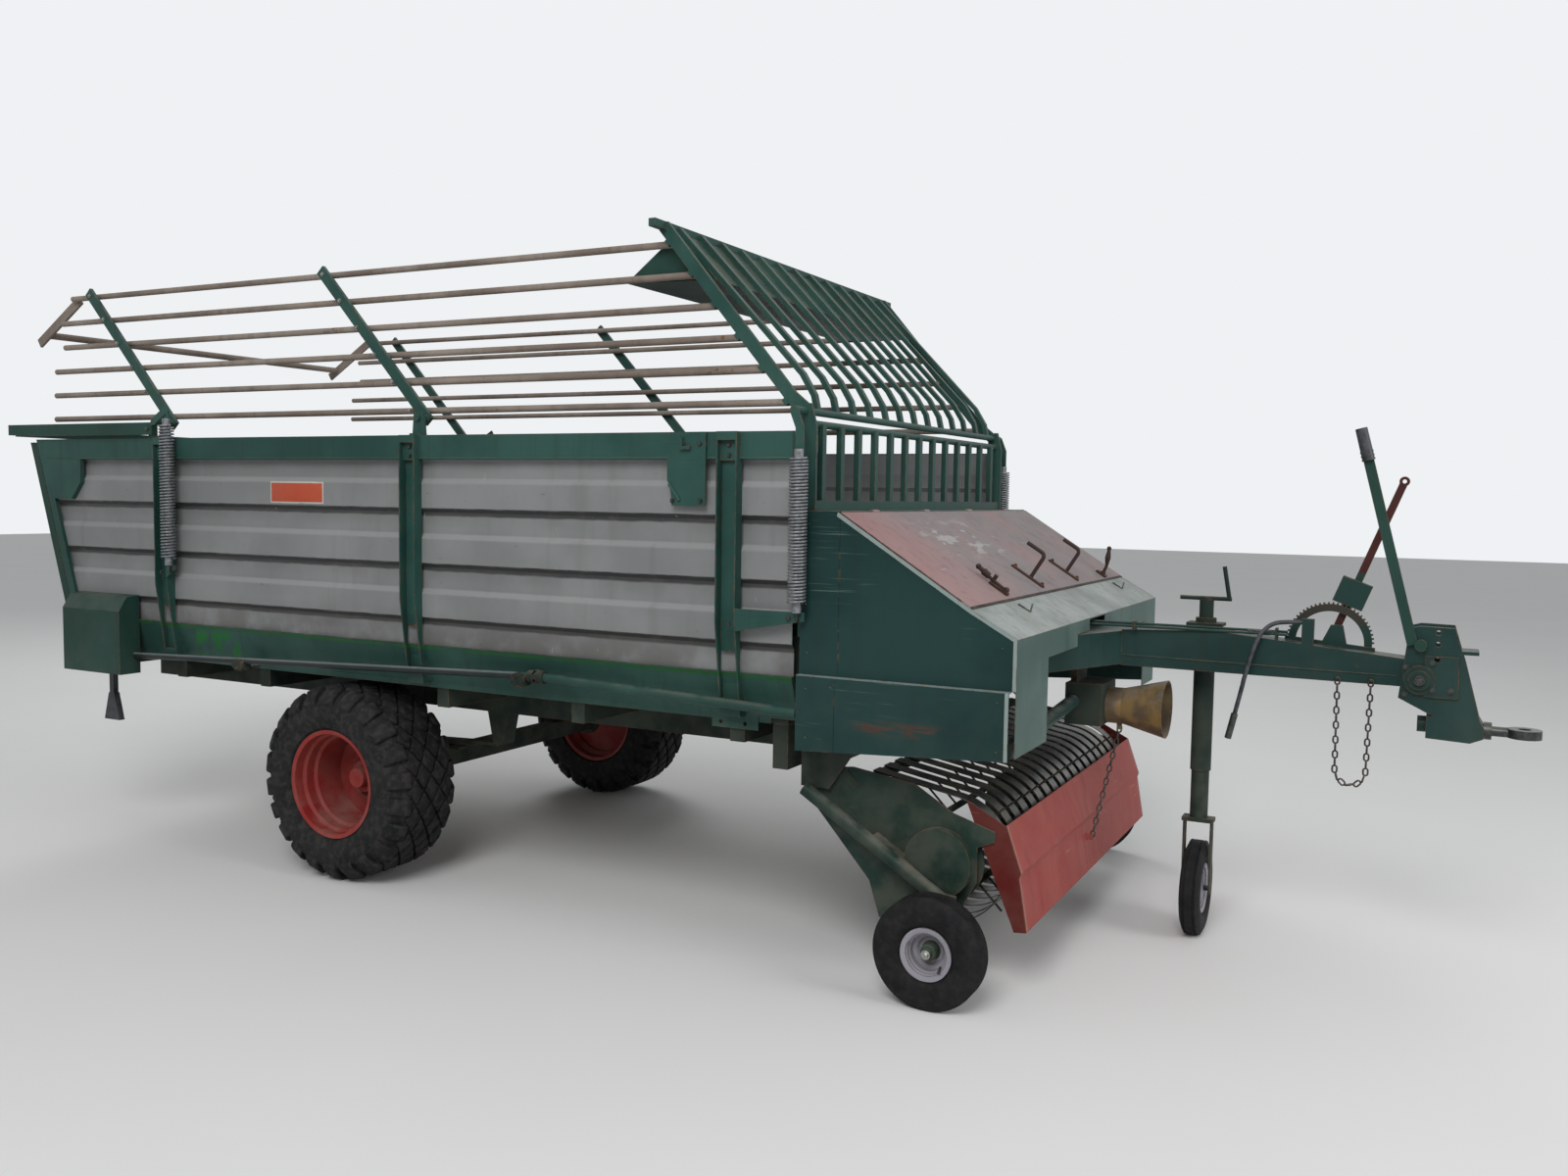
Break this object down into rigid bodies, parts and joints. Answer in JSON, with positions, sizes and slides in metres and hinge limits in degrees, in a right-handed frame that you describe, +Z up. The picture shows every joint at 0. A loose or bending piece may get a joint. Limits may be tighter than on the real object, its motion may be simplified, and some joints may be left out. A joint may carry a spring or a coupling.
{
  "type": "loader wagon",
  "caption": "Self-loading forage wagon with corrugated steel walls, a folding hay frame, a floating tined pick-up under a sloping housing, and a drawbar on a jack wheel.",
  "frame": {"origin": "on the ground under the middle of the whole machine", "axes": "+X forward along the drawbar to the hitch eye, +Y to the left, +Z up"},
  "size_m": [6.645, 2.3, 2.6419],
  "materials": {
    "bare_steel": "worn",
    "black_rubber": "matt",
    "faded_red_paint": "chalky, washed out",
    "floor_wood": "weathered boards",
    "galvanised": "dull zinc with rust",
    "green_paint": "worn gloss, faded",
    "guard_plastic": "yellow brown, dirty",
    "light_grey_paint": "satin",
    "pale_green_paint": "chalky, washed out",
    "red_paint": "worn gloss, faded and rusty",
    "rim_silver": "satin, dusty",
    "rusty_steel": "brown rust",
    "tyre": "dusty rubber"
  },
  "bodies": {
    "chassis": {"axle": "green_paint", "brake_linkage": "rusty_steel", "cross_drive_tube": "light_grey_paint", "drawbar": "green_paint", "drawbar_eye": "bare_steel", "drive_guard": "green_paint", "feed_channel": "galvanised", "floor_drive_shaft": "bare_steel", "front_frame": "green_paint", "gearbox": "green_paint", "guard_chain": "bare_steel", "hitch_chain": "rusty_steel", "hitch_head": "green_paint", "hose_coupling": "bare_steel", "housing_front": "pale_green_paint", "housing_sides": "green_paint", "housing_top": "green_paint", "hydraulic_hose": "black_rubber", "jack_leg": "green_paint", "lift_lever": "green_paint", "load_floor": "floor_wood", "lower_grille": "green_paint", "main_frame": "green_paint", "pto_shield": "guard_plastic", "rear_flaps": "black_rubber", "scraper_floor": "rusty_steel", "side_walls": "galvanised", "springs_front": "bare_steel", "springs_rear": "bare_steel", "wall_frames": "green_paint"},
    "wheel_right": {"wheel_right_tyre": "tyre", "wheel_right_rim": "red_paint"},
    "wheel_left": {"wheel_left_tyre": "tyre", "wheel_left_rim": "red_paint"},
    "jack_wheel": {"jack_wheel_tyre": "tyre", "jack_wheel_rim": "rim_silver"},
    "gauge_wheel_right": {"gauge_wheel_right_tyre": "tyre", "gauge_wheel_right_rim": "rim_silver"},
    "gauge_wheel_left": {"gauge_wheel_left_tyre": "tyre", "gauge_wheel_left_rim": "rim_silver"},
    "pickup": {"pickup_frame": "green_paint", "pickup_bands": "galvanised", "wind_guard": "red_paint"},
    "reel": {"tine_reel": "green_paint"},
    "rotor": {"feed_rotor": "green_paint"},
    "hood": {"hood_lid": "faded_red_paint", "hood_handles": "bare_steel"},
    "tailgate": {"tailgate_frame": "green_paint", "tailgate_panel": "galvanised"},
    "roof_front": {"roof_front_frame": "green_paint", "roof_visor": "green_paint"},
    "arms_middle": {"roof_arms_middle": "green_paint"},
    "arms_rear": {"roof_arms_rear": "green_paint"},
    "rod_1": {"roof_rod_1": "rusty_steel"},
    "rod_2": {"roof_rod_2": "rusty_steel"},
    "rod_3": {"roof_rod_3": "rusty_steel"},
    "rod_4": {"roof_rod_4": "rusty_steel"},
    "rod_5": {"roof_rod_5": "rusty_steel"},
    "rod_6": {"roof_rod_6": "rusty_steel"}
  },
  "joints": [
    {"name": "wheel_right_spin", "type": "hinge", "parent": "chassis", "child": "wheel_right", "pos_m": [-1.1275, -0.937, 0.42], "axis": [0, 1, 0], "continuous": true},
    {"name": "wheel_left_spin", "type": "hinge", "parent": "chassis", "child": "wheel_left", "pos_m": [-1.1275, 0.937, 0.42], "axis": [0, 1, 0], "continuous": true},
    {"name": "jack_wheel_spin", "type": "hinge", "parent": "chassis", "child": "jack_wheel", "pos_m": [2.2075, 0.105, 0.18], "axis": [1, 0, 0], "continuous": true},
    {"name": "pickup_lift", "type": "hinge", "parent": "chassis", "child": "pickup", "pos_m": [1.0725, 0, 0.68], "axis": [0, -1, 0], "range_deg": [0, 13], "deforming": ["guard_chain"]},
    {"name": "gauge_wheel_right_spin", "type": "hinge", "parent": "pickup", "child": "gauge_wheel_right", "pos_m": [1.5725, -1.1, 0.188], "axis": [0, 1, 0], "continuous": true},
    {"name": "gauge_wheel_left_spin", "type": "hinge", "parent": "pickup", "child": "gauge_wheel_left", "pos_m": [1.5725, 1.1, 0.188], "axis": [0, 1, 0], "continuous": true},
    {"name": "reel_spin", "type": "hinge", "parent": "pickup", "child": "reel", "pos_m": [1.5325, 0, 0.435], "axis": [0, 1, 0], "continuous": true},
    {"name": "rotor_spin", "type": "hinge", "parent": "chassis", "child": "rotor", "pos_m": [1.2925, 0, 1.015], "axis": [0, 1, 0], "continuous": true},
    {"name": "tailgate_swing", "type": "hinge", "parent": "chassis", "child": "tailgate", "pos_m": [-2.2775, 0, 1.928], "axis": [0, 1, 0], "range_deg": [0, 24]},
    {"name": "hood_swing", "type": "hinge", "parent": "chassis", "child": "hood", "pos_m": [1.1955, 0, 1.612], "axis": [0, -1, 0], "range_deg": [0, 70]},
    {"name": "roof_fold", "type": "hinge", "parent": "chassis", "child": "roof_front", "pos_m": [1.0445, 0, 1.955], "axis": [0, 1, 0], "range_deg": [-36, 0], "deforming": ["springs_front"]},
    {"name": "arms_middle_fold", "type": "hinge", "parent": "chassis", "child": "arms_middle", "pos_m": [-0.6775, 0, 1.955], "axis": [0, 1, 0], "range_deg": [-36, 0]},
    {"name": "arms_rear_fold", "type": "hinge", "parent": "chassis", "child": "arms_rear", "pos_m": [-2.2195, 0, 1.955], "axis": [0, 1, 0], "range_deg": [-36, 0], "deforming": ["springs_rear"]},
    {"name": "rod_1_pin", "type": "hinge", "parent": "roof_front", "child": "rod_1", "pos_m": [0.4735, 0, 2.567], "axis": [0, 1, 0], "range_deg": [0, 36]},
    {"name": "rod_2_pin", "type": "hinge", "parent": "roof_front", "child": "rod_2", "pos_m": [0.5707, 0, 2.4514], "axis": [0, 1, 0], "range_deg": [0, 36]},
    {"name": "rod_3_pin", "type": "hinge", "parent": "roof_front", "child": "rod_3", "pos_m": [0.6679, 0, 2.3358], "axis": [0, 1, 0], "range_deg": [0, 36]},
    {"name": "rod_4_pin", "type": "hinge", "parent": "roof_front", "child": "rod_4", "pos_m": [0.7651, 0, 2.2202], "axis": [0, 1, 0], "range_deg": [0, 36]},
    {"name": "rod_5_pin", "type": "hinge", "parent": "roof_front", "child": "rod_5", "pos_m": [0.8623, 0, 2.1046], "axis": [0, 1, 0], "range_deg": [0, 36]},
    {"name": "rod_6_pin", "type": "hinge", "parent": "roof_front", "child": "rod_6", "pos_m": [0.9595, 0, 1.989], "axis": [0, 1, 0], "range_deg": [0, 36]}
  ],
  "couplings": [
    {"joint": "arms_middle_fold", "follows": "roof_fold", "ratio": 1},
    {"joint": "arms_rear_fold", "follows": "roof_fold", "ratio": 1},
    {"joint": "rod_1_pin", "follows": "roof_fold", "ratio": -1},
    {"joint": "rod_2_pin", "follows": "roof_fold", "ratio": -1},
    {"joint": "rod_3_pin", "follows": "roof_fold", "ratio": -1},
    {"joint": "rod_4_pin", "follows": "roof_fold", "ratio": -1},
    {"joint": "rod_5_pin", "follows": "roof_fold", "ratio": -1},
    {"joint": "rod_6_pin", "follows": "roof_fold", "ratio": -1}
  ]
}
